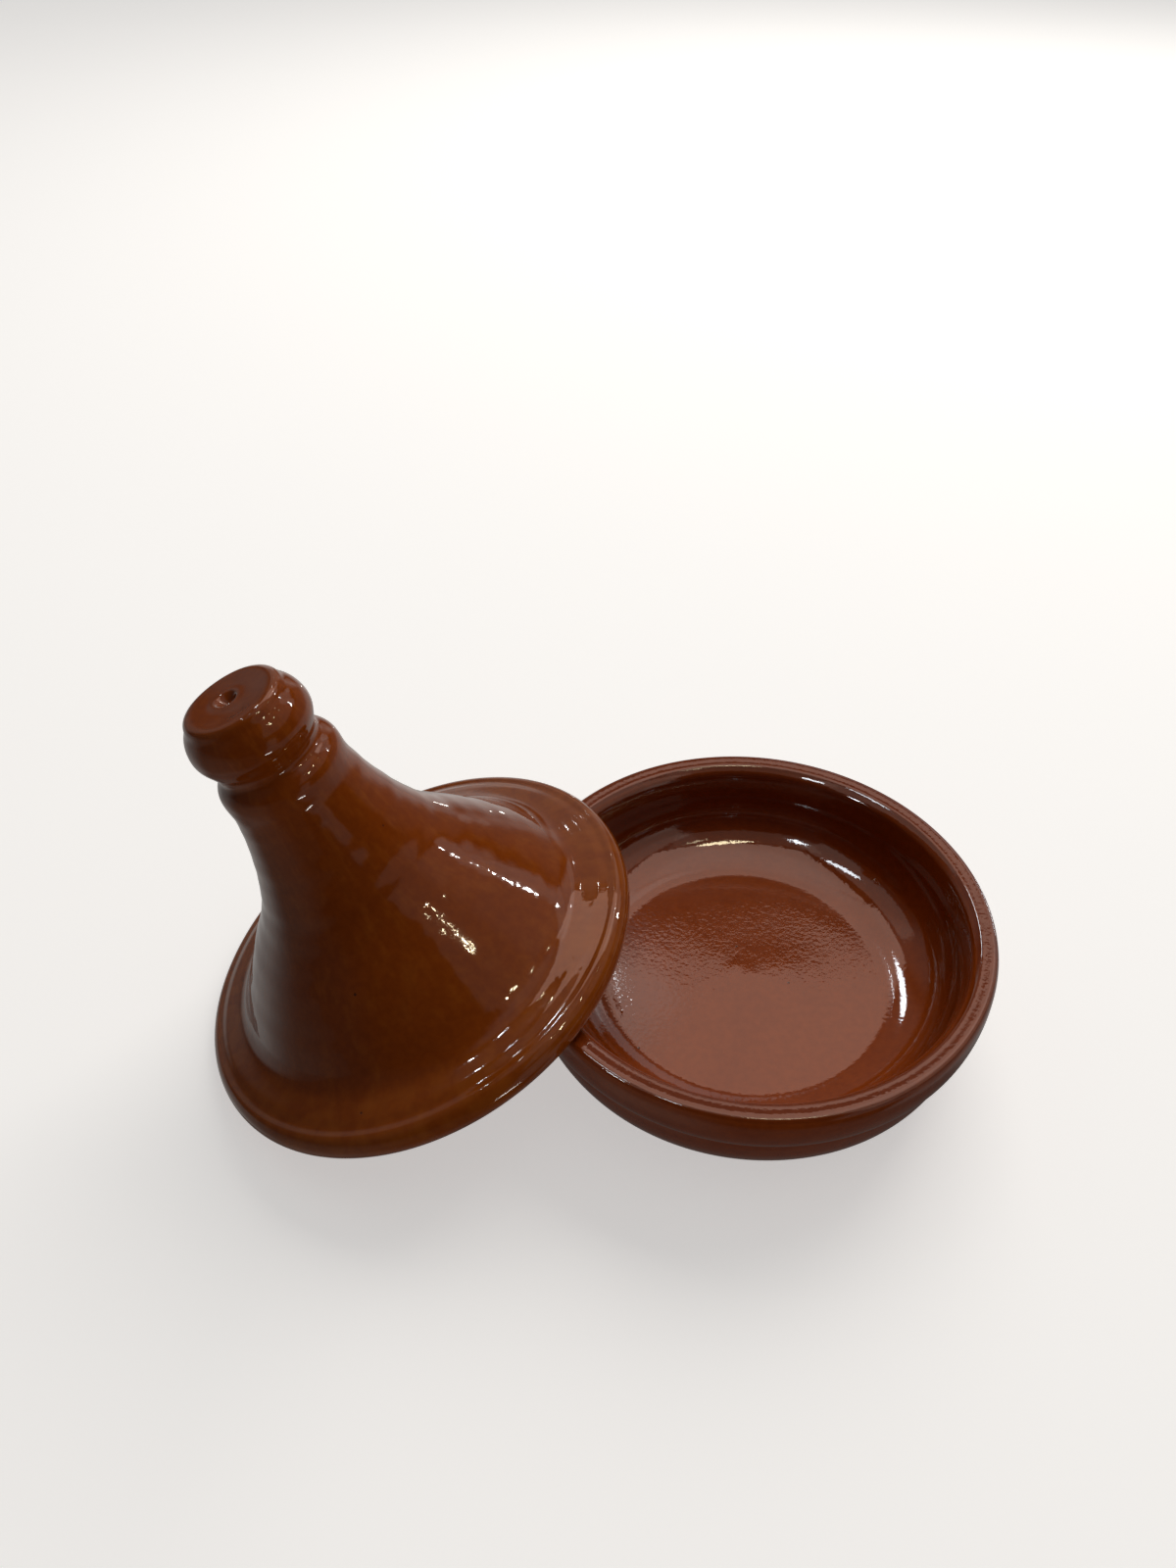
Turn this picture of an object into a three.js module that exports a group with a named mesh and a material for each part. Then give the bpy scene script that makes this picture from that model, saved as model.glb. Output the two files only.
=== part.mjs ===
// Tagine: a shallow round clay dish and its conical clay lid.
// Millimetres, +Z up. The origin is the centre of the dish's flat foot.
// The lid is laid down as it is while serving: its left lip stands on the
// table and its brim leans on the dish's rim, towards -X.

import * as THREE from 'three';

// ---------------------------------------------------------------- sizes
const TURNS = 60;              // facets round each turned piece

// dish, radii and heights from the foot
const FOOT_RADIUS = 58.5;      // flat disc that stands on the table
const FLOOR_HEIGHT = 11.3;     // thickness of the floor
const FLOOR_FILLET = 22.5;     // wide inside curve between floor and wall
const WELL_RADIUS = 69.5;      // inside wall above that corner
// lower body outside, from the foot's edge to the band: [radius, height]
const DISH_BODY = [
  [61.4, 1.0], [64.6, 3.2], [67.9, 6.4], [70.7, 9.9],
  [73.0, 13.8], [74.6, 18.0], [75.5, 22.5], [75.8, 27.6],
];
// rim band from its lower edge over the domed crest, and down the bevel inside
// to the well: [radius, height]; the widest circle is 160 mm across
const DISH_RIM = [
  [76.3, 28.6], [77.3, 29.05], [78.6, 30.8], [79.5, 33.7], [80.0, 37.8],
  [80.0, 40.4], [79.85, 42.4], [79.35, 43.9], [78.5, 44.8], [77.1, 45.5],
  [75.7, 45.9], [74.7, 46.0], [73.9, 45.7], [73.0, 44.9], [72.1, 43.9],
  [71.4, 42.7], [70.8, 40.6], [70.0, 36.9],
];

// lid, radii and heights from the plane of its seat
const LIP_RADIUS = 76.7;       // widest circle of the lid
const LIP_MIDDLE = 4.2;        // height of that circle
const LIP_TOP = [72.6, 9.4];   // upper edge of the lip
const SEAT_OUTER = 74.4;       // narrow flat ring that lies on the dish's rim
const SEAT_INNER = 73.2;
// brim, cone, neck and collar outside: [radius, height]
const LID_OUTSIDE = [
  [71.1, 9.75], [69.1, 10.6], [66.0, 11.32], [64.0, 11.78],
  [62.6, 12.2], [61.2, 12.85], [59.5, 14.1],
  [57.6, 16.0], [54.7, 20.0], [51.7, 24.0], [48.6, 28.0],
  [45.5, 32.0], [42.3, 36.0], [38.9, 40.0], [35.6, 44.0],
  [32.9, 48.0], [30.5, 52.0], [28.6, 56.0], [26.0, 62.0],
  [23.9, 68.0], [22.0, 74.0], [20.6, 80.0], [19.7, 84.3],
  [19.4, 88.0], [19.5, 91.0], [19.55, 93.6], [19.0, 95.4],
  [17.5, 96.9],
];
// groove over the collar, the knob and its cap: [radius, height]
const LID_KNOB = [
  [16.1, 99.0], [16.3, 100.8], [17.4, 103.2], [18.5, 105.8],
  [18.9, 108.2], [18.75, 110.4], [18.2, 112.4], [17.4, 114.1],
  [16.55, 115.3], [15.85, 116.0], [15.4, 116.6], [15.35, 117.8],
  [15.1, 118.5], [14.5, 119.1], [13.4, 119.4], [11.2, 119.25],
  [7.6, 118.95], [4.6, 118.75], [3.2, 118.1], [1.9, 117.1],
];
const DIMPLE_BOTTOM = 116.7;   // small pit in the middle of the knob
// hollow of the lid, from the neck's inside down to the seat
const HOLLOW_TOP = 93.0;
const LID_HOLLOW = [
  [4.0, 92.4], [7.6, 90.4], [10.0, 86.4], [12.2, 80.6],
  [14.6, 73.6], [17.8, 65.2], [22.4, 54.6], [28.2, 43.6],
  [34.4, 35.0], [41.2, 26.6], [49.0, 17.4], [55.0, 10.6],
  [60.0, 7.0], [65.0, 5.4], [69.0, 4.4], [71.0, 2.9],
  [72.3, 1.0],
];

// where the lid lies
const LID_LEAN = 20.99 * Math.PI / 180;   // its axis leans towards -X
const LID_X = -111.40;                    // centre of its seat
const LID_Z = 26.78;

// ------------------------------------------------------------- finishes
const glazedClay = (colour, roughness) => new THREE.MeshStandardMaterial({
  color: new THREE.Color(colour), roughness, metalness: 0.0,
});

// --------------------------------------------------------------- shapes
const at = ([r, z]) => new THREE.Vector2(r, z);
const deg = Math.PI / 180;
// points of an ellipse arc round (r, z), without its first point
const arc = (r, z, rr, rz, from, to, n) => {
  const pts = [];
  for (let i = 1; i <= n; i++) {
    const a = (from + (to - from) * i / n) * deg;
    pts.push(new THREE.Vector2(r + rr * Math.cos(a), z + rz * Math.sin(a)));
  }
  return pts;
};
// a profile turned round the vertical axis
const turned = (profile) => {
  const g = new THREE.LatheGeometry(profile, TURNS);
  g.rotateX(Math.PI / 2);
  return g;
};

// Dish: foot, rounded body, swollen rim band, well and flat floor.
const dishProfile = [
  at([0, 0]), at([FOOT_RADIUS, 0]),
  ...DISH_BODY.map(at),
  ...DISH_RIM.map(at),
  at([WELL_RADIUS, FLOOR_HEIGHT + FLOOR_FILLET]),
  ...arc(WELL_RADIUS - FLOOR_FILLET, FLOOR_HEIGHT + FLOOR_FILLET,
    FLOOR_FILLET, FLOOR_FILLET, 0, -90, 10),
  at([0, FLOOR_HEIGHT]),
];
const dish = new THREE.Mesh(turned(dishProfile), glazedClay('#6b3322', 0.22));
dish.name = 'dish';

// Lid: hollow cone with a flat brim, a rounded lip and a turned knob.
const lidProfile = [
  at([0, HOLLOW_TOP]),
  ...LID_HOLLOW.map(at),
  at([SEAT_INNER, 0]), at([SEAT_OUTER, 0]),
  ...arc(SEAT_OUTER, LIP_MIDDLE, LIP_RADIUS - SEAT_OUTER, LIP_MIDDLE, -90, 0, 4),
  ...arc(LIP_TOP[0], LIP_MIDDLE, LIP_RADIUS - LIP_TOP[0], LIP_TOP[1] - LIP_MIDDLE, 0, 90, 5),
  ...LID_OUTSIDE.map(at),
  ...LID_KNOB.map(at),
  at([0, DIMPLE_BOTTOM]),
];
const lid = new THREE.Mesh(turned(lidProfile), glazedClay('#6d3418', 0.18));
lid.name = 'lid';

const lidPlace = new THREE.Group();
lidPlace.position.set(LID_X, 0, LID_Z);
lidPlace.rotation.y = -LID_LEAN;
lidPlace.add(lid);

const tagine = new THREE.Group();
tagine.name = 'tagine';
tagine.add(dish, lidPlace);

export default tagine;
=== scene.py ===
import math

import bpy
import numpy as np
from mathutils import Matrix, Vector


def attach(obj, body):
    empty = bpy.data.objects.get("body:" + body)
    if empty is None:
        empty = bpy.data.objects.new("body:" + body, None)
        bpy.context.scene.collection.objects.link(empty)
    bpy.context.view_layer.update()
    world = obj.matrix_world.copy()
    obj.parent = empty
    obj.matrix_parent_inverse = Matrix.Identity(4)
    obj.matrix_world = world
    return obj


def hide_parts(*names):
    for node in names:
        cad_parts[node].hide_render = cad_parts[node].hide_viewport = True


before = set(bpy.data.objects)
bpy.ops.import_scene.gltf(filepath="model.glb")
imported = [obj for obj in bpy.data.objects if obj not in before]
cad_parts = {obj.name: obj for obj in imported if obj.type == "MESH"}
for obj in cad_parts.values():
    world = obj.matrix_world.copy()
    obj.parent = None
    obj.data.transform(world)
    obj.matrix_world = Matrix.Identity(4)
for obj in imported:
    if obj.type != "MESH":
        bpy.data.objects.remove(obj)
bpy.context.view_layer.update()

# ------------------------------------------------------------------ shapes
MM = 0.001
TURNS = 240                      # facets round each turned piece


def through(points, step):
    """A smooth curve through [radius, height] points, in steps of about `step` mm."""
    p = np.array(points, float)
    p = np.vstack([2 * p[0] - p[1], p, 2 * p[-1] - p[-2]])
    made = []
    for a, b, c, d in zip(p, p[1:], p[2:], p[3:]):
        t0 = 0.0
        t1 = t0 + np.linalg.norm(b - a) ** 0.5
        t2 = t1 + np.linalg.norm(c - b) ** 0.5
        t3 = t2 + np.linalg.norm(d - c) ** 0.5
        n = max(1, round(float(np.linalg.norm(c - b)) / step))
        for t in np.linspace(t1, t2, n, endpoint=False):
            ab = a * (t1 - t) / (t1 - t0) + b * (t - t0) / (t1 - t0)
            bc = b * (t2 - t) / (t2 - t1) + c * (t - t1) / (t2 - t1)
            cd = c * (t3 - t) / (t3 - t2) + d * (t - t2) / (t3 - t2)
            abc = ab * (t2 - t) / (t2 - t0) + bc * (t - t0) / (t2 - t0)
            bcd = bc * (t3 - t) / (t3 - t1) + cd * (t - t1) / (t3 - t1)
            made.append(abc * (t2 - t) / (t2 - t1) + bcd * (t - t1) / (t2 - t1))
    made.append(p[-2])
    return np.array(made)


def arc(r, z, rr, rz, start, end, n):
    """Points of an ellipse arc round (r, z)."""
    a = np.radians(np.linspace(start, end, n + 1))
    return np.column_stack([r + rr * np.cos(a), z + rz * np.sin(a)])


def joined(*runs):
    """Runs of profile points in one list, without repeated points."""
    points = [runs[0][0]]
    for run in runs:
        for q in run:
            if np.linalg.norm(q - points[-1]) > 0.02:
                points.append(q)
    return np.array(points)


def step_up(x, low, high):
    t = np.clip((x - low) / (high - low), 0.0, 1.0)
    return t * t * (3 - 2 * t)


def turned(name, profile, place, uneven, marks):
    """A piece turned round its own axis, from a profile that starts and ends on the axis.
    uneven(angle, radius, height) is how far the hand moved the wall, in mm along its normal.
    marks holds one number per profile point for each named mark."""
    t = np.gradient(profile, axis=0)
    t /= np.linalg.norm(t, axis=1)[:, None]
    normal = np.column_stack([t[:, 1], -t[:, 0]])
    angle = np.arange(TURNS) * 2 * math.pi / TURNS
    r, z = profile[1:-1, :1], profile[1:-1, 1:]
    out = uneven(angle[None, :], r, z)
    rr = r + normal[1:-1, :1] * out
    zz = z + normal[1:-1, 1:] * out
    ring = np.stack([rr * np.cos(angle), rr * np.sin(angle), zz], axis=2)
    n = len(ring)
    poles = [profile[k, 1] + normal[k, 1] * float(uneven(np.zeros(1), profile[k, :1], profile[k, 1:])[0])
             for k in (0, -1)]
    points = np.vstack([[[0, 0, poles[0]]], ring.reshape(-1, 3), [[0, 0, poles[1]]]]) * MM
    points = points @ np.array(place.to_3x3()).T + np.array(place.translation)

    def at(i, j):
        return 1 + i * TURNS + j % TURNS

    faces = [(0, at(0, j + 1), at(0, j)) for j in range(TURNS)]
    for i in range(n - 1):
        faces += [(at(i, j), at(i, j + 1), at(i + 1, j + 1), at(i + 1, j)) for j in range(TURNS)]
    faces += [(at(n - 1, j), at(n - 1, j + 1), 1 + n * TURNS) for j in range(TURNS)]
    mesh = bpy.data.meshes.new(name)
    mesh.from_pydata(points.tolist(), [], faces)
    mesh.polygons.foreach_set("use_smooth", [True] * len(mesh.polygons))
    for mark, values in marks.items():
        data = np.concatenate([values[:1], np.repeat(values[1:-1], TURNS), values[-1:]])
        mesh.attributes.new(mark, "FLOAT", "POINT").data.foreach_set("value", data.astype(np.float32))
    mesh.update()
    obj = bpy.data.objects.new(name, mesh)
    bpy.context.scene.collection.objects.link(obj)
    return obj


def convexity(profile):
    """How sharply the profile turns outwards, per mm, smoothed over neighbours."""
    t = np.gradient(profile, axis=0)
    length = np.linalg.norm(t, axis=1)
    heading = np.unwrap(np.arctan2(t[:, 1], t[:, 0]))
    bend = np.gradient(heading) / length
    for _ in range(4):
        bend = np.convolve(np.pad(bend, 1, "edge"), [0.25, 0.5, 0.25], "valid")
    return bend


# Dish: slightly hollow foot, rounded body, swollen rim band, well and floor.
foot = through([[0, 0.7], [30, 0.65], [46, 0.5], [51, 0.25], [53, 0.0]], 1.6)
stand = through([[53, 0.0], [55, 0.0], [57.6, 0.0], [59.2, 0.2], [61.4, 1.05], [64.6, 3.2]], 0.7)
body = through([[64.6, 3.2], [67.9, 6.4], [70.7, 9.9], [73.0, 13.8], [74.6, 18.0], [75.5, 22.5],
                [75.8, 26.2], [75.9, 27.9], [76.3, 28.6], [77.2, 29.0]], 0.7)
band = through([[77.2, 29.0], [78.3, 30.2], [79.2, 32.3], [79.75, 35.0], [80.0, 37.8], [80.0, 40.0],
                [79.97, 41.4], [79.89, 42.5], [79.73, 43.4], [79.46, 44.2], [79.1, 44.82], [78.65, 45.28],
                [78.1, 45.5], [77.4, 45.5], [76.6, 45.43], [75.8, 45.34], [75.2, 45.285], [74.8, 45.26],
                [74.45, 45.25], [74.15, 45.2], [73.85, 45.05], [73.5, 44.73], [73.0, 44.2], [72.4, 43.48],
                [71.9, 42.75], [71.4, 41.75], [70.9, 40.3], [70.4, 38.5], [70.0, 36.9], [69.5, 33.8]], 0.3)
well = arc(47.0, 33.8, 22.5, 22.5, 0, -90, 40)
floor_run = through([[47.0, 11.3], [40, 11.3], [30, 11.25], [18, 11.25], [9, 11.31], [4, 11.37], [0, 11.40]], 1.2)
dish_profile = joined(foot, stand, body, band, well, floor_run)


def dish_uneven(a, r, z):
    """Shallow throwing rings and one fuller side outside, a slow wave in the floor; the rim stays true."""
    low = 1 - step_up(z, 24, 29)
    inside = (r < 66) & (z > 9)
    outside = 0.10 * np.sin(2 * a + 0.6) + 0.06 * np.sin(3 * a + 2.1) + 0.012 * np.sin(z * 1.15 + 0.8 * np.sin(a))
    outside = outside + 0.75 * np.exp(-((np.angle(np.exp(1j * (a + 0.9)))) / 0.55) ** 2) * (1 - step_up(z, 12, 26))
    floor_wave = 0.03 * np.sin(0.13 * r + a + 0.9) + 0.025 * np.sin(3 * a + 0.11 * r) * step_up(r, 4, 20)
    spiral = 0.008 * np.sin(0.75 * r - a) * np.exp(-(r / 16.0) ** 2) * step_up(r, 0.5, 4)
    on_wall = low * step_up(z, 0.5, 6)
    return np.where(inside, floor_wave * (1 - step_up(r, 48, 62)) + spiral, outside * on_wall)


# Lid: hollow cone with a brim, a rounded lip and a turned knob.
hollow = through([[0, 93.0], [4.0, 92.4], [7.6, 90.4], [10.0, 86.4], [12.2, 80.6], [14.6, 73.6], [17.8, 65.2],
                  [22.4, 54.6], [28.2, 43.6], [34.4, 35.0], [41.2, 26.6], [49.0, 17.4], [55.0, 10.6],
                  [60.0, 7.0], [65.0, 5.4], [69.0, 4.4], [71.0, 2.9], [72.3, 1.0], [72.8, 0.3], [73.4, 0.0]], 1.5)
seat = through([[73.4, 0.0], [73.8, 0.0], [74.2, 0.0]], 0.4)
lip_low = arc(74.4, 4.2, 2.3, 4.2, -90, 0, 9)
lip_high = arc(72.6, 4.2, 4.1, 5.2, 0, 78, 14)
brim = through([lip_high[-1].tolist(), [72.7, 9.38], [71.9, 9.5], [71.1, 9.75], [70.1, 10.2], [69.1, 10.6],
                [68.0, 10.9], [66.0, 11.32], [64.0, 11.78], [62.6, 12.2], [61.4, 12.75], [60.4, 13.4],
                [59.4, 14.2], [58.5, 15.05], [57.6, 16.0]], 0.45)
cone = through([[57.6, 16.0], [54.7, 20.0], [51.7, 24.0], [48.6, 28.0], [45.5, 32.0], [42.3, 36.0],
                [38.9, 40.0], [35.6, 44.0], [32.9, 48.0], [30.5, 52.0], [28.6, 56.0], [26.0, 62.0],
                [23.9, 68.0], [22.0, 74.0], [20.6, 80.0]], 0.85)
neck = through([[20.6, 80.0], [19.75, 84.3], [19.45, 87.2], [19.55, 89.6], [19.6, 91.4], [19.4, 93.0], [18.95, 94.5],
                [18.25, 95.8], [17.4, 96.9], [16.6, 97.8], [16.15, 98.8], [16.3, 100.8], [17.4, 103.2], [18.5, 105.8], [18.9, 108.2],
                [18.75, 110.4], [18.2, 112.4], [17.45, 114.0], [16.7, 115.2], [16.1, 116.0], [15.7, 116.7],
                [15.45, 117.4], [15.15, 118.1], [14.65, 118.7], [13.9, 119.15], [12.9, 119.35], [11.7, 119.3],
                [9.5, 119.0], [6.5, 118.65], [3.0, 118.5], [0, 118.5]], 0.5)
lid_profile = joined(hollow, seat, lip_low, lip_high, brim, cone, neck)


def lid_uneven(a, r, z):
    """Cone and lip are a little out of round, the cone bears faint throwing rings; the seat stays true.
    A thumb-tip pit sits a little off the middle of the knob."""
    up = step_up(z, 14, 24)
    wave = 0.16 * np.sin(2 * a + 1.0) + 0.10 * np.sin(3 * a + 0.3 + z * 0.03)
    rings = 0.03 * np.sin(z * 0.95 + 0.7 * np.sin(a)) + 0.03 * np.sin(z * 0.47 + 1.3 * np.sin(a + 1.7))
    off = np.hypot(r * np.cos(a) + 1.8, r * np.sin(a) - 1.4)
    pit = 0.22 * np.exp(-((off - 4.3) / 1.2) ** 2) - 2.2 * (1 - step_up(off, 0.6, 3.7))
    lip = 0.40 * np.sin(a) ** 2 * step_up(r, 70, 75) * step_up(z, 1.0, 4.0)
    return up * (wave + rings) * step_up(r, 1.0, 6.0) + lip + np.where((z > 118.0) & (r < 12.5), pit, 0.0)


lid_place = Matrix.Translation(Vector((-111.40, 0, 26.78)) * MM) @ Matrix.Rotation(math.radians(-20.99), 4, "Y")

inner = np.arange(len(dish_profile)) > np.argmax(dish_profile[:, 1])
# painted shade: the dish's inner wall and rim top are darkened in the colour where less light falls on them
painted_shade = inner * step_up(dish_profile[:, 1], 14, 25) * (1 - step_up(dish_profile[:, 1], 41.5, 44.5))
on_rim = step_up(dish_profile[:, 1], 43.6, 44.6)
painted_shade = np.maximum(painted_shade, 0.75 * on_rim)
bare_foot = (1 - step_up(dish_profile[:, 1], 0.5, 1.6)) * (dish_profile[:, 0] < 66)
dish = turned("dish_glazed", dish_profile, Matrix.Identity(4), dish_uneven, {
    "thin": step_up(convexity(dish_profile), 0.10, 0.45) * (1 - 0.8 * on_rim), "bare": bare_foot, "painted_shade": painted_shade})
seat_ring = 1 - step_up(np.hypot(lid_profile[:, 0] - 73.8, lid_profile[:, 1]), 0.7, 1.5)
over = np.arange(len(lid_profile)) > np.argmin(lid_profile[:, 1])
thin_brim = 0.55 * over * step_up(lid_profile[:, 0], 60, 65) * step_up(lid_profile[:, 1], 2, 7)
drawn_up = Matrix(((1, 0, 0.0044, 0), (0, 1, 0, 0), (0, 0, 1, 0), (0, 0, 0, 1)))   # the cone isn't quite upright
lid = turned("lid_glazed", lid_profile, lid_place @ drawn_up, lid_uneven, {
    "thin": np.maximum(step_up(convexity(lid_profile), 0.10, 0.45) * (1 - 0.7 * step_up(lid_profile[:, 1], 20, 60)), thin_brim),
    "bare": seat_ring})

# --------------------------------------------------------------- materials


class Graph:
    """Short ways to add shader nodes to one tree."""

    def __init__(self, tree):
        self.tree = tree
        tree.nodes.clear()

    def add(self, kind, sockets=(), **props):
        n = self.tree.nodes.new(kind)
        for k, v in props.items():
            setattr(n, k, v)
        for k, v in dict(sockets).items():
            if isinstance(v, bpy.types.NodeSocket):
                self.tree.links.new(v, n.inputs[k])
            else:
                n.inputs[k].default_value = v
        return n

    def math(self, op, a, b=0.0, c=0.0, clamp=False):
        return self.add("ShaderNodeMath", {0: a, 1: b, 2: c}, operation=op, use_clamp=clamp).outputs[0]

    def vector(self, op, a, b=(0, 0, 0)):
        return self.add("ShaderNodeVectorMath", {0: a, 1: b}, operation=op)

    def noise(self, vec, scale, detail=2.0, rough=0.5, distort=0.0):
        return self.add("ShaderNodeTexNoise", {"Vector": vec, "Scale": scale, "Detail": detail,
                                               "Roughness": rough, "Distortion": distort}).outputs[0]

    def span(self, x, low, high, to_low=0.0, to_high=1.0):
        return self.add("ShaderNodeMapRange", {0: x, 1: low, 2: high, 3: to_low, 4: to_high},
                        interpolation_type="SMOOTHSTEP").outputs[0]

    def blend(self, fac, a, b, how="MIX"):
        n = self.add("ShaderNodeMix", {0: fac}, data_type="RGBA", blend_type=how)
        for k, v in ((6, a), (7, b)):
            if isinstance(v, bpy.types.NodeSocket):
                self.tree.links.new(v, n.inputs[k])
            else:
                n.inputs[k].default_value = (*v, 1.0)
        return n.outputs[2]


def glaze(name, deep, mid, light, fine, ripple, wave, streaks, place=None):
    """Clear glossy glaze over fired red clay; bare clay where the mark 'bare' says so."""
    mat = bpy.data.materials.new(name)
    mat.use_nodes = True
    g = Graph(mat.node_tree)
    here = g.add("ShaderNodeTexCoord").outputs["Object"]
    if place is not None:
        here = g.add("ShaderNodeMapping", {"Vector": here, "Location": place.translation,
                                           "Rotation": place.to_euler()}, vector_type="TEXTURE").outputs[0]
    # direction away from the axis, for marks that run up and down the wall
    xyz = g.add("ShaderNodeSeparateXYZ", {0: here})
    flat = g.add("ShaderNodeCombineXYZ", {0: xyz.outputs[0], 1: xyz.outputs[1]}).outputs[0]
    away = g.vector("NORMALIZE", flat).outputs[0]
    way = g.add("ShaderNodeSeparateXYZ", {0: away})
    height = g.math("MULTIPLY", xyz.outputs[2], 14.0)
    runs = g.add("ShaderNodeCombineXYZ", {0: way.outputs[0], 1: way.outputs[1], 2: height}).outputs[0]

    # colour: clouds of thicker glaze, runs, fine mottling, painted shade on the dish's inner wall and rim top, thin
    # edges, iron specks
    cloud = g.noise(here, 26.0, 3.0, 0.55, 0.4)
    colour = g.blend(g.span(cloud, 0.34, 0.66), deep, mid)
    if streaks:
        run = g.noise(runs, 7.0, 3.0, 0.6)
        from_axis = g.vector("LENGTH", flat).outputs["Value"]
        run = g.math("MULTIPLY", g.span(run, 0.46, 0.72), g.span(from_axis, 0.011, 0.018, 0.0, streaks))
        colour = g.blend(run, colour, light)
    mottle = g.noise(here, 380.0, 3.0, 0.6)
    shade = g.add("ShaderNodeCombineColor", {0: g.span(mottle, 0.3, 0.7, 0.93, 1.06),
                                             1: g.span(mottle, 0.3, 0.7, 0.91, 1.08),
                                             2: g.span(mottle, 0.3, 0.7, 0.90, 1.09)}).outputs[0]
    colour = g.blend(1.0, colour, shade, "MULTIPLY")
    # painted shade: the colour is multiplied darker on the dish's inner wall and rim top
    painted_shade = g.add("ShaderNodeAttribute", attribute_name="painted_shade").outputs["Fac"]
    colour = g.blend(painted_shade, colour, (0.58, 0.50, 0.50), "MULTIPLY")
    thin = g.add("ShaderNodeAttribute", attribute_name="thin").outputs["Fac"]
    broken = g.span(g.noise(here, 150.0, 2.0), 0.35, 0.65, 0.25, 0.75)
    colour = g.blend(g.math("MULTIPLY", thin, broken), colour, light)
    cells = g.add("ShaderNodeTexVoronoi", {"Vector": here, "Scale": 130.0})
    chosen = g.add("ShaderNodeSeparateColor", {0: cells.outputs["Color"]}).outputs[0]
    speck = g.math("MULTIPLY", g.span(cells.outputs["Distance"], 0.045, 0.075, 1.0, 0.0),
                   g.math("GREATER_THAN", chosen, 0.86))
    colour = g.blend(g.math("MULTIPLY", speck, 0.75), colour, (0.012, 0.006, 0.004))

    # bare clay, sandy and matte
    bare = g.add("ShaderNodeAttribute", attribute_name="bare").outputs["Fac"]
    edge = g.noise(here, 160.0, 3.0)
    bare = g.span(g.math("ADD", bare, g.math("MULTIPLY_ADD", edge, 0.5, -0.25)), 0.40, 0.60)
    sand = g.noise(here, 900.0, 4.0, 0.7)
    clay = g.blend(g.span(sand, 0.3, 0.7), (0.26, 0.085, 0.036), (0.40, 0.155, 0.075))
    colour = g.blend(bare, colour, clay)

    patch = g.noise(here, 60.0, 3.0, 0.6)
    rough = g.span(patch, 0.3, 0.7, 0.035, 0.07)
    rough = g.math("MULTIPLY_ADD", bare, 0.70, rough)

    # surface: slow waves and fine orange peel in the glaze, grain in the bare clay
    peel = g.noise(here, fine, 1.5, 0.5)
    swell = g.noise(here, 240.0, 1.0, 0.4)
    slow = g.noise(here, 105.0, 1.0, 0.4)
    lift = g.math("MULTIPLY_ADD", peel, ripple * MM, g.math("MULTIPLY", slow, wave * MM))
    lift = g.math("MULTIPLY_ADD", swell, 0.22 * wave * MM, lift)
    grain = g.math("MULTIPLY", g.math("MULTIPLY", sand, bare), 0.16 * MM)
    pit = g.math("MULTIPLY", speck, -0.03 * MM)
    lift = g.math("ADD", g.math("ADD", lift, grain), pit)
    bump = g.add("ShaderNodeBump", {"Strength": 1.0, "Distance": 1.0, "Height": lift}).outputs[0]

    skin = g.add("ShaderNodeBsdfPrincipled", {"Base Color": colour, "Roughness": rough, "IOR": 1.5,
                                              "Normal": bump})
    g.add("ShaderNodeOutputMaterial", {"Surface": skin.outputs[0]})
    return mat


dish.data.materials.append(glaze("dish_glaze", (0.178, 0.0300, 0.0024), (0.198, 0.0350, 0.0032), (0.235, 0.050, 0.007),
                                 760.0, 0.030, 0.014, 0.0))
lid.data.materials.append(glaze("lid_glaze", (0.178, 0.0320, 0.0012), (0.198, 0.0370, 0.0018), (0.300, 0.078, 0.008),
                                430.0, 0.026, 0.045, 0.26, lid_place))

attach(dish, "dish")
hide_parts("dish")
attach(lid, "lid")
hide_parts("lid")

# -------------------------------------------------------------------- stage
scene = bpy.context.scene
scene.view_settings.view_transform = "Standard"

# pale floor that rises into a round wall far away
cove = joined(through([[0, 0], [1000, 0], [2600, 0]], 400), arc(2600, 1400, 1400, 1400, -90, 0, 16),
              through([[4000, 1400], [4000, 9000]], 900)) * MM
around = np.arange(97) * 2 * math.pi / 96
studio_mesh = bpy.data.meshes.new("studio")
studio_mesh.from_pydata(
    [(r * math.cos(a), r * math.sin(a), z) for r, z in cove for a in around[:-1]], [],
    [(i * 96 + j, i * 96 + (j + 1) % 96, (i + 1) * 96 + (j + 1) % 96, (i + 1) * 96 + j)
     for i in range(len(cove) - 1) for j in range(96)])
studio_mesh.polygons.foreach_set("use_smooth", [True] * len(studio_mesh.polygons))
studio = bpy.data.objects.new("studio", studio_mesh)
scene.collection.objects.link(studio)
pale = bpy.data.materials.new("pale_floor")
pale.use_nodes = True
g = Graph(pale.node_tree)
paper = g.add("ShaderNodeBsdfPrincipled", {"Base Color": (0.90, 0.89, 0.88, 1.0), "Roughness": 0.9,
                                           "Specular IOR Level": 0.0, "Emission Color": (1.0, 0.99, 0.98, 1.0),
                                           "Emission Strength": 0.50})
g.add("ShaderNodeOutputMaterial", {"Surface": paper.outputs[0]})
studio_mesh.materials.append(pale)
studio.visible_glossy = False
studio.visible_diffuse = False
studio.visible_shadow = False

# soft room seen in the glaze: patches of brighter wall and ceiling, dark front left.
# azimuth runs from +Y towards +X, elevation from the horizon, both in degrees
world = bpy.data.worlds.new("room")
scene.world = world
world.use_nodes = True
g = Graph(world.node_tree)
look = g.add("ShaderNodeSeparateXYZ", {0: g.add("ShaderNodeTexCoord").outputs["Generated"]})
azimuth = g.math("MULTIPLY", g.math("ARCTAN2", look.outputs[0], look.outputs[1]), 180 / math.pi)
elevation = g.math("MULTIPLY", g.math("ARCSINE", look.outputs[2]), 180 / math.pi)
room = None


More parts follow.
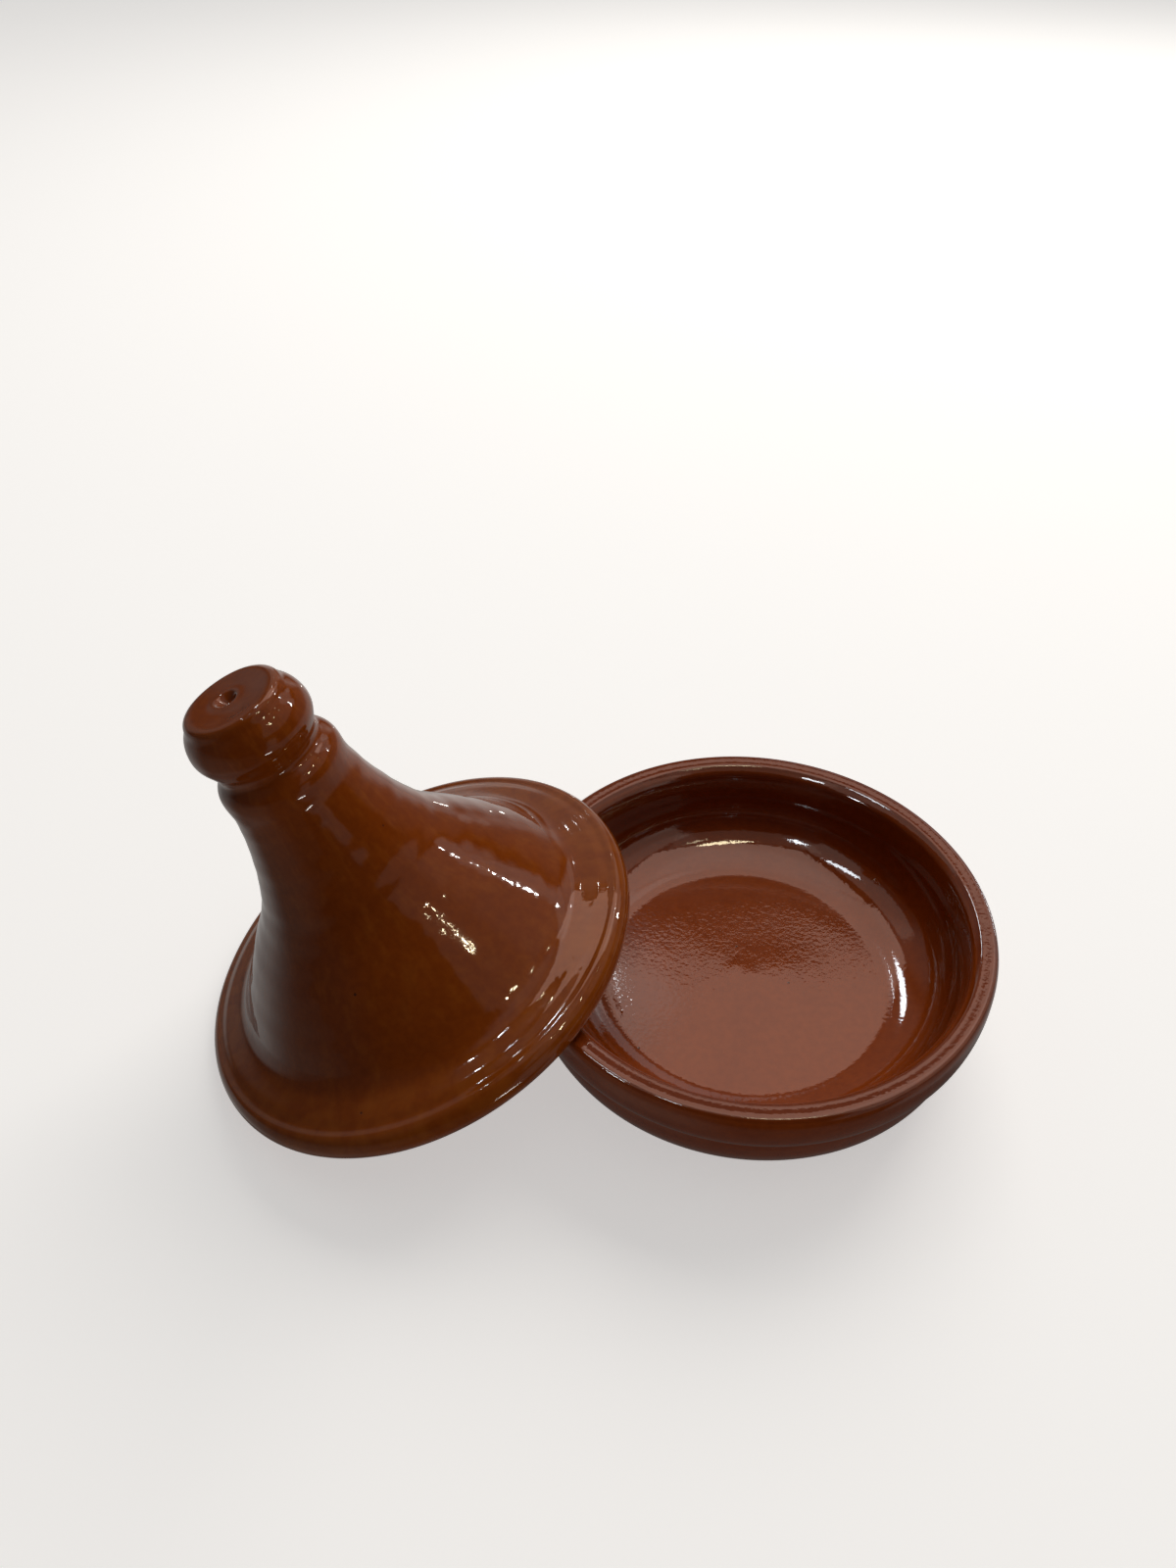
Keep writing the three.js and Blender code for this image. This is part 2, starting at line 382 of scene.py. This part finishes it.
def patch(az, el, colour, soft=3.0):
    """Adds a patch with soft edges to the room; a colour is one number or three, soft one number or two."""
    global room
    sa, se = soft if isinstance(soft, tuple) else (soft, soft)
    inside = g.math("MULTIPLY", g.span(azimuth, az[0] - sa, az[0] + sa), g.span(azimuth, az[1] + sa, az[1] - sa))
    inside = g.math("MULTIPLY", inside, g.math("MULTIPLY", g.span(elevation, el[0] - se, el[0] + se),
                                               g.span(elevation, el[1] + se, el[1] - se)))
    tone = colour if isinstance(colour, tuple) else (colour, colour * 0.97, colour * 0.93)
    room = g.blend(inside, room if room is not None else (0.02, 0.0195, 0.019), tone, "ADD")


EAST, WEST = 230.0, -230.0
patch((60, 152), (25, 70), 0.17, 1.5)                 # right-hand wall, with a sharp front edge
patch((60, 100), (25, 52), 0.10, 7)
patch((60, EAST), (62, 100), 0.10, 6)
patch((47, 60), (22, 60), 0.62, 2)                    # pale doorway
patch((28, 47), (28, 68), 0.55, 4)
patch((10, 80), (-3, 18), 0.11, 5)
patch((-30, 20), (4, 48), 0.20, 5)                    # back wall
patch((-26, -6), (-16, 10), 0.55, 4)
patch((-64, -34), (-30, 45), 0.10, 6)
patch((-68, -40), (0, 60), 0.13, 6)
patch((-145, -60), (-12, 60), 0.035, 12)
patch((WEST, EAST), (68, 100), 0.25, 6)
patch((-90, 60), (-50, -6), 0.36, (18, 6))            # table behind
patch((-8, 12), (-33, -14), 0.25, 5)
patch((60, 120), (-50, -3), 0.19, (6, 4))
patch((15, 95), (-40, -4), 0.13, 8)
patch((120, 152), (-24, -3), 0.19, (4, 4))
patch((-160, -98), (-62, -12), (0.14, 0.105, 0.085), (18, 10))
patch((13, 19), (-6, 14), 0.22, 3)
patch((WEST, EAST), (-100, -50), 0.055, 8)
patch((130, 148), (-5, 15), 0.20, 3)
sky = g.add("ShaderNodeBackground", {"Color": room, "Strength": 1.0})
g.add("ShaderNodeOutputWorld", {"Surface": sky.outputs[0]})

AIM = Vector((-0.06, 0.0, 0.04))


def towards(az, el):
    a, e = math.radians(az), math.radians(el)
    return Vector((math.sin(a) * math.cos(e), math.cos(a) * math.cos(e), math.sin(e)))


def lamp(name, az, el, distance, width, height, radiance, colour, shape, lean=0.0):
    light = bpy.data.lights.new(name, "AREA")
    light.shape = shape
    light.size, light.size_y = width, height
    area = width * height * (math.pi / 4 if shape == "ELLIPSE" else 1)
    light.energy = radiance * math.pi * area
    light.color = colour
    obj = bpy.data.objects.new(name, light)
    place = AIM + towards(az, el) * distance
    turn = (AIM - place).to_track_quat("-Z", "Y").to_matrix().to_4x4() @ Matrix.Rotation(math.radians(lean), 4, "Z")
    obj.matrix_world = Matrix.Translation(place) @ turn
    scene.collection.objects.link(obj)
    return obj


only_dish = bpy.data.collections.new("only_dish")
only_dish.objects.link(dish)
only_lid = bpy.data.collections.new("only_lid")
only_lid.objects.link(lid)
only_floor = bpy.data.collections.new("only_floor")
only_floor.objects.link(studio)


def soft_box(name, az, el, size, light_on_face, colour, only):
    """A wide diffuser that lights the clay and isn't mirrored in the glaze."""
    distance = 1.8
    box = lamp(name, az, el, distance, size, size, light_on_face * distance ** 2 / size ** 2, colour, "RECTANGLE")
    box.visible_glossy = False
    box.light_linking.receiver_collection = only


def bulb(name, az, el, spread, radiance, colour, long=1.0, lean=0.0, only=None):
    """A small lamp far away, `spread` degrees across and `long` times as long, that only sparkles in the glaze."""
    size = 2 * 1.7 * math.tan(math.radians(spread / 2))
    spot = lamp(name, az, el, 1.7, size * long, size, radiance, colour, "ELLIPSE", lean)
    spot.visible_diffuse = False
    spot.light_linking.receiver_collection = only


def wall(name, az, el, distance, width, height, radiance, colour, only):
    """A plain lit surface of the room that is only mirrored in the glaze."""
    face = lamp(name, az, el, distance, width, height, radiance, colour, "RECTANGLE")
    face.visible_diffuse = False
    face.light_linking.receiver_collection = only


def ceiling(name, x, y, radiance, colour, only, turn=0.0):
    """Lit ceiling between x and y limits, seen only as a reflection."""
    light = bpy.data.lights.new(name, "AREA")
    light.shape = "RECTANGLE"
    light.size, light.size_y = x[1] - x[0], y[1] - y[0]
    light.energy = radiance * math.pi * light.size * light.size_y
    light.color = colour
    face = bpy.data.objects.new(name, light)
    face.location = ((x[0] + x[1]) / 2, (y[0] + y[1]) / 2, 1.5)
    face.rotation_euler = (0.0, 0.0, math.radians(turn))
    face.visible_diffuse = False
    face.light_linking.receiver_collection = only
    scene.collection.objects.link(face)


WARM, PINK = (1.0, 0.95, 0.89), (1.0, 0.68, 0.56)
soft_box("key_lid", 27, 43, 1.5, 1.60, (1.0, 0.96, 0.90), only_lid)
soft_box("front_right_lid", 126, 45, 1.2, 0.60, WARM, only_lid)
soft_box("top_lid", -20, 80, 1.4, 0.25, WARM, only_lid)
soft_box("key_dish", 27, 43, 1.5, 1.35, (1.0, 0.96, 0.90), only_dish)
soft_box("top_dish", 0, 80, 1.0, 1.12, WARM, only_dish)
soft_box("low_right_dish", 150, -2, 0.3, 0.34, WARM, only_dish)
soft_box("low_left_dish", -150, -2, 0.3, 0.36, WARM, only_dish)
soft_box("low_lid", 178, -52, 0.8, 0.66, WARM, only_lid)
soft_box("key_floor", 27, 43, 1.5, 1.60, (1.0, 0.96, 0.90), only_floor)

ceiling("ceiling_lid", (-0.62, 0.72), (0.40, 1.21), 2.1, PINK, only_lid)
ceiling("ceiling_dish", (-1.00, 1.40), (0.40, 1.251), 2.15, PINK, only_dish, -1.0)
ceiling("ceiling_right_dish", (0.60, 1.40), (1.25, 1.62), 1.3, PINK, only_dish)
ceiling("overhead_dish", (-0.75, 1.40), (-0.85, 0.40), 2.2, PINK, only_dish)
wall("right_dish", 105, 22, 1.5, 2.2, 1.0, 0.68, (1.0, 0.75, 0.62), only_dish)
wall("front_dish", 180, 46, 1.5, 2.0, 0.6, 0.38, (1.0, 0.75, 0.62), only_dish)
wall("left_dish", -98, 42, 1.5, 2.0, 0.75, 0.65, (1.0, 0.80, 0.70), only_dish)
wall("back_right_dish", 50, 20, 1.5, 0.95, 0.75, 0.55, (0.92, 0.96, 1.0), only_dish)
wall("back_mid_dish", 26, 36.5, 1.5, 0.50, 0.36, 0.80, (0.92, 0.96, 1.0), only_dish)
wall("back_lid", -5, 26, 1.5, 1.40, 1.21, 0.13, WARM, only_lid)
wall("door_lid", 24, 48, 1.5, 0.22, 1.09, 0.55, WARM, only_lid)
for k in range(6):
    wall(f"table_lid_{k}", -138, -44, 1.2, 3.6 - 0.30 * k, 2.2 - 0.26 * k, 0.045, (1.0, 0.80, 0.66), only_lid)

WHITE, GOLD, BLUE = (1.0, 0.97, 0.92), (1.0, 0.86, 0.55), (0.86, 0.94, 1.0)
for k, (az, el, spread, tone, radiance) in enumerate([
        (55.0, 39.5, 0.8, WHITE, 220), (57.0, 36.8, 1.1, WHITE, 220), (58.4, 33.4, 1.9, WHITE, 160), (60.2, 31.6, 0.8, WHITE, 200),
        (130.8, 50.4, 1.4, GOLD, 190), (134.2, 51.2, 0.7, GOLD, 200), (128.2, 51.8, 0.7, GOLD, 200), (132.0, 54.2, 0.6, GOLD, 200),
        (130.2, 57.0, 0.7, GOLD, 220), (141.6, 56.0, 0.7, GOLD, 220), (108.0, 58.5, 0.8, GOLD, 220), (81.0, 58.0, 0.6, GOLD, 220),
        (-46.0, 61.0, 0.4, GOLD, 260), (30.0, 53.0, 1.0, WHITE, 160), (-2.0, 24.0, 0.5, WHITE, 60), (-13.0, 30.5, 0.6, WHITE, 110),
        (9.0, 38.0, 0.8, WHITE, 150), (-9.0, 48.0, 0.8, WHITE, 110), (8.0, -13.0, 1.2, WHITE, 14), (-74.0, 55.5, 1.1, BLUE, 170),
        (-69.0, 62.5, 0.9, BLUE, 170)]):
    bulb(f"bulb_{k}", az, el, spread, radiance, tone, 1.0, 0.0, only_lid)
bulb("brim_strip", -48, 54.6, 2.0, 100, BLUE, 2.0, -30, only_lid)
bulb("lip_strip", 148, -18, 2.5, 22, WHITE, 5.0, 0, only_lid)

bulb("window", -16.5, 44.0, 7.0, 26, BLUE, 2.4, 75, only_dish)
bulb("strip_left", -111, 48, 6.0, 22, BLUE, 3.0, 25, only_dish)
bulb("strip_front", -147, 39, 5.0, 30, BLUE, 1.8, 0, only_dish)
bulb("gold_front", 162, 57, 4.0, 26, GOLD, 6.0, 0, only_dish)
bulb("gold_low", 146, 47, 2.0, 8, GOLD, 5.0, 0, only_dish)
bulb("cool_back", 3, 51.0, 8.0, 0.45, BLUE, 1.0, 0, only_dish)
bulb("sparkle_high", 0.5, 51.5, 1.3, 40, BLUE, 1.0, 0, only_dish)
bulb("sparkle_low", 0.0, 48.8, 1.1, 40, BLUE, 1.0, 0, only_dish)
bulb("rim_left", -125, 17, 1.6, 120, BLUE, 5.0, 0, only_dish)
bulb("rim_right", 54, 6, 2.2, 45, BLUE, 6.0, 0, only_dish)

# ------------------------------------------------------------------- camera
cam = bpy.data.cameras.new("photo_camera")
cam.sensor_width = 36.0
cam.lens = 26.939
cam.clip_start, cam.clip_end = 0.01, 50.0
camera = bpy.data.objects.new("photo_camera", cam)
turn = (Matrix.Rotation(math.radians(-0.534), 4, "Z") @ Matrix.Rotation(math.radians(47.914), 4, "X")
        @ Matrix.Rotation(math.radians(-0.760), 4, "Z"))
camera.matrix_world = Matrix.Translation((-0.056356, -0.260289, 0.338610)) @ turn
scene.collection.objects.link(camera)
scene.camera = camera
